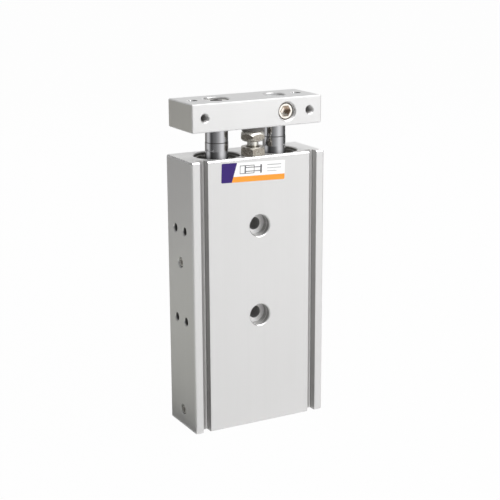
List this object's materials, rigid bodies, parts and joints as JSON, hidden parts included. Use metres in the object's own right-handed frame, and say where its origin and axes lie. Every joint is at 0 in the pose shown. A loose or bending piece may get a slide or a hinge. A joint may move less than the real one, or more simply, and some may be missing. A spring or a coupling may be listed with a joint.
{
  "type": "double rod pneumatic cylinder",
  "caption": "Flat aluminium air cylinder with parallel bores and rods, a shared end plate, an adjustable stop bolt, sensor grooves and counterbored mounting holes.",
  "frame": {"origin": "middle of the housing's lower end face", "axes": "+Z along the rods from the housing towards the end plate, +X from the left rod to the right rod, -Y out of the face with the sensor grooves"},
  "size_m": [0.064, 0.025, 0.144],
  "materials": {
    "body_anodised": "clear anodised, satin, drawn along the length",
    "plate_anodised": "clear anodised, satin",
    "rod_chrome": "ground and hard chrome plated",
    "screw_zinc": "bright zinc plated",
    "screw_nickel": "bright nickel plated",
    "plug_steel": "plated steel",
    "stop_plated": "zinc plated",
    "bumper_urethane": "dark moulded urethane",
    "piston_aluminium": "turned",
    "seal_rubber": "moulded nitrile rubber",
    "magnet_plastic": "plastic bonded magnet",
    "nut_steel": "plated steel",
    "cover_dark": "dark hard anodised",
    "cover_aluminium": "turned and anodised",
    "bush_bronze": "sintered bearing bronze",
    "ring_black": "phosphated spring steel"
  },
  "bodies": {
    "housing": {"cylinder_body": "body_anodised", "port_plugs": "plug_steel", "stop_nut": "stop_plated", "rod_cover_left": "cover_dark", "rod_cover_right": "cover_dark", "guide_bush_left": "bush_bronze", "guide_bush_right": "bush_bronze", "rod_seal_left": "seal_rubber", "rod_seal_right": "seal_rubber", "rod_cover_oring_left": "seal_rubber", "rod_cover_oring_right": "seal_rubber", "seal_retainer_left": "cover_dark", "seal_retainer_right": "cover_dark", "rod_retaining_ring_left": "ring_black", "rod_retaining_ring_right": "ring_black", "head_cover_left": "cover_aluminium", "head_cover_right": "cover_aluminium", "head_cover_oring_left": "seal_rubber", "head_cover_oring_right": "seal_rubber", "head_retaining_ring_left": "ring_black", "head_retaining_ring_right": "ring_black"},
    "rods_and_plate": {"end_plate": "plate_anodised", "plate_cap_screw": "screw_zinc", "clamp_screw": "screw_nickel", "piston_rod_left": "rod_chrome", "piston_rod_right": "rod_chrome", "piston_left": "piston_aluminium", "piston_right": "piston_aluminium", "piston_seal_left": "seal_rubber", "piston_seal_right": "seal_rubber", "piston_magnet_left": "magnet_plastic", "piston_magnet_right": "magnet_plastic", "piston_nut_left": "nut_steel", "piston_nut_right": "nut_steel", "rod_bumper_left": "bumper_urethane", "rod_bumper_right": "bumper_urethane", "head_bumper_left": "bumper_urethane", "head_bumper_right": "bumper_urethane"},
    "stop": {"stop_bolt": "stop_plated", "stop_bumper": "bumper_urethane"}
  },
  "joints": [
    {"name": "rod_slide", "type": "slide", "parent": "housing", "child": "rods_and_plate", "axis": [0, 0, 1], "range_m": [0, 0.05]},
    {"name": "stop_adjust", "type": "slide", "parent": "housing", "child": "stop", "axis": [0, 0, 1], "range_m": [-0.0023, 0]}
  ]
}
